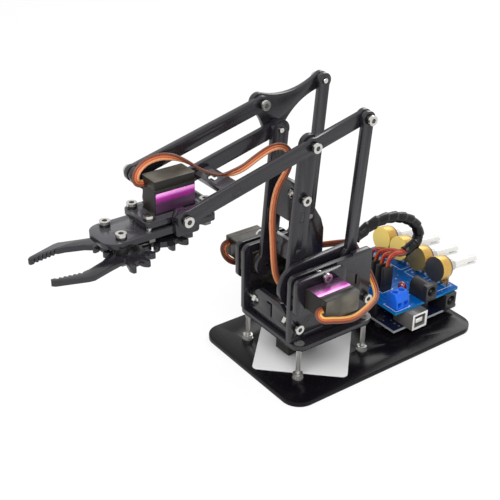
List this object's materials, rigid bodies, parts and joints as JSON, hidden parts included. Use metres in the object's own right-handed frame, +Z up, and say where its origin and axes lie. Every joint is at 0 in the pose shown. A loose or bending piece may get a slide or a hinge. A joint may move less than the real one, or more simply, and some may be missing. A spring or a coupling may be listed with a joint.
{
  "type": "desktop robot arm",
  "caption": "Small acrylic robot arm with parallel linkages, a geared gripper, servos and a control board with rotary pots on a flat base plate.",
  "frame": {"origin": "on the turning axis of the turret, at the underside of the base plate", "axes": "+X ahead over the gripper, +Y towards the side with the connectors, +Z up"},
  "size_m": [0.2838, 0.0953, 0.1621],
  "materials": {
    "acrylic": "polished black acrylic sheet",
    "steel": "bright stainless steel",
    "servo_case": "smoky translucent plastic",
    "white_sheet": "white sheet",
    "dark_board": "dark solder mask",
    "blue_board": "blue solder mask",
    "shell": "tinned steel shell",
    "black_plastic": "black moulded plastic",
    "blue_plastic": "blue moulded plastic",
    "red_lens": "red tinted epoxy",
    "pot_body": "yellow passivated can with brown wafer",
    "pot_shaft": "turned aluminium",
    "cream_plastic": "cream nylon",
    "lead": "brown, red and orange insulation",
    "sleeve": "black spiral wrap"
  },
  "bodies": {
    "base": {"base_plate": "acrylic", "base_sheet": "white_sheet", "base_fasteners": "steel", "fixed_plate": "acrylic", "base_servo": "servo_case", "controller_board": "dark_board", "board_posts": "black_plastic", "usb_socket": "shell", "power_jacks": "black_plastic", "board_headers": "black_plastic", "shield_board": "blue_board", "servo_header": "black_plastic", "servo_plugs": "black_plastic", "terminal_block": "blue_plastic", "status_led": "red_lens", "pots": "pot_body", "sleeve": "sleeve", "servo_wires": "lead"},
    "turret": {"turret_plate": "acrylic", "side_plate_near": "acrylic", "side_plate_far": "acrylic", "cross_plate_front": "acrylic", "cross_plate_rear": "acrylic", "near_servo": "servo_case", "far_servo": "servo_case", "servo_collars": "acrylic", "turret_fasteners": "steel", "base_horn": "cream_plastic", "turret_leads": "lead"},
    "upper_arm": {"upper_arm_near": "acrylic", "upper_arm_far": "acrylic", "arm_brace": "acrylic", "arm_fasteners": "steel"},
    "triangle": {"triangle": "acrylic", "triangle_bolts": "steel"},
    "forearm": {"forearm_near": "acrylic", "forearm_far": "acrylic", "forearm_brace": "acrylic", "forearm_bolts": "steel", "gripper_lead": "lead"},
    "gripper": {"gripper_plate": "acrylic", "bracket_near": "acrylic", "bracket_far": "acrylic", "gripper_collar": "acrylic", "gripper_servo": "servo_case", "gripper_fasteners": "steel", "jaw_spacers": "black_plastic"},
    "top_link": {"top_link": "acrylic"},
    "rear_link": {"rear_link": "acrylic"},
    "lever": {"lever": "acrylic"},
    "lever_pin": {"lever_pin": "steel"},
    "push_rod": {"push_rod": "acrylic"},
    "drive_gear": {"drive_gear": "acrylic"},
    "jaw_near": {"jaw_near": "acrylic"},
    "jaw_far": {"jaw_far": "acrylic"},
    "pot_shaft_1": {"pot_shaft_1": "pot_shaft"},
    "pot_shaft_2": {"pot_shaft_2": "pot_shaft"},
    "pot_shaft_3": {"pot_shaft_3": "pot_shaft"},
    "pot_shaft_4": {"pot_shaft_4": "pot_shaft"}
  },
  "joints": [
    {"name": "base_yaw", "type": "hinge", "parent": "base", "child": "turret", "pos_m": [0, 0, 0.0272], "axis": [0, 0, 1], "range_deg": [-80, 80], "deforming": ["sleeve", "servo_wires", "turret_leads"]},
    {"name": "shoulder", "type": "hinge", "parent": "turret", "child": "upper_arm", "pos_m": [0.01882, 0, 0.05786], "axis": [0, 1, 0], "range_deg": [-12, 40]},
    {"name": "triangle_level", "type": "hinge", "parent": "upper_arm", "child": "triangle", "pos_m": [0.0124, -0.0203, 0.1376], "axis": [0, 1, 0], "range_deg": [-40, 12]},
    {"name": "elbow", "type": "hinge", "parent": "triangle", "child": "forearm", "pos_m": [0.0124, 0, 0.1376], "axis": [0, 1, 0], "range_deg": [-20, 25], "deforming": ["gripper_lead"]},
    {"name": "gripper_level", "type": "hinge", "parent": "forearm", "child": "gripper", "pos_m": [0.09002, 0, 0.11825], "axis": [0, 1, 0], "range_deg": [-25, 20]},
    {"name": "top_link_turn", "type": "hinge", "parent": "triangle", "child": "top_link", "pos_m": [0.0224, -0.017, 0.1531], "axis": [0, 1, 0], "range_deg": [-20, 25]},
    {"name": "rear_link_turn", "type": "hinge", "parent": "turret", "child": "rear_link", "pos_m": [-0.01288, -0.017, 0.07796], "axis": [0, 1, 0], "range_deg": [-12, 40]},
    {"name": "lever_turn", "type": "hinge", "parent": "turret", "child": "lever", "pos_m": [0.01882, 0.0137, 0.05786], "axis": [0, 1, 0], "range_deg": [-20, 25]},
    {"name": "lever_pin_turn", "type": "hinge", "parent": "lever", "child": "lever_pin", "pos_m": [-0.01514, 0.015, 0.06632], "axis": [0, 1, 0], "range_deg": [-25, 20]},
    {"name": "push_rod_turn", "type": "hinge", "parent": "lever_pin", "child": "push_rod", "pos_m": [-0.01514, 0.017, 0.06632], "axis": [0, 1, 0], "range_deg": [-12, 40]},
    {"name": "grip", "type": "hinge", "parent": "gripper", "child": "drive_gear", "pos_m": [0.0935, -0.0033, 0.1036], "axis": [0, 0, 1], "range_deg": [-15, 14]},
    {"name": "jaw_near_turn", "type": "hinge", "parent": "gripper", "child": "jaw_near", "pos_m": [0.11981, 0.0047, 0.1036], "axis": [0, 0, 1], "range_deg": [-14, 15]},
    {"name": "jaw_far_turn", "type": "hinge", "parent": "gripper", "child": "jaw_far", "pos_m": [0.11981, -0.0113, 0.1036], "axis": [0, 0, 1], "range_deg": [-15, 14]},
    {"name": "pot_1", "type": "hinge", "parent": "base", "child": "pot_shaft_1", "pos_m": [-0.10091, 0.0154, 0.03074], "axis": [-0.9925, 0, -0.1219], "range_deg": [-150, 150]},
    {"name": "pot_2", "type": "hinge", "parent": "base", "child": "pot_shaft_2", "pos_m": [-0.10091, -0.0006, 0.03074], "axis": [-0.9925, 0, -0.1219], "range_deg": [-150, 150]},
    {"name": "pot_3", "type": "hinge", "parent": "base", "child": "pot_shaft_3", "pos_m": [-0.10091, -0.0166, 0.03074], "axis": [-0.9925, 0, -0.1219], "range_deg": [-150, 150]},
    {"name": "pot_4", "type": "hinge", "parent": "base", "child": "pot_shaft_4", "pos_m": [-0.10091, -0.0326, 0.03074], "axis": [-0.9925, 0, -0.1219], "range_deg": [-150, 150]}
  ],
  "couplings": [
    {"joint": "triangle_level", "follows": "shoulder", "ratio": -1},
    {"joint": "gripper_level", "follows": "elbow", "ratio": -1},
    {"joint": "top_link_turn", "follows": "elbow", "ratio": 1},
    {"joint": "rear_link_turn", "follows": "shoulder", "ratio": 1},
    {"joint": "lever_turn", "follows": "elbow", "ratio": 1},
    {"joint": "lever_pin_turn", "follows": "elbow", "ratio": -1},
    {"joint": "push_rod_turn", "follows": "shoulder", "ratio": 1},
    {"joint": "jaw_near_turn", "follows": "grip", "ratio": -1},
    {"joint": "jaw_far_turn", "follows": "grip", "ratio": 1}
  ]
}
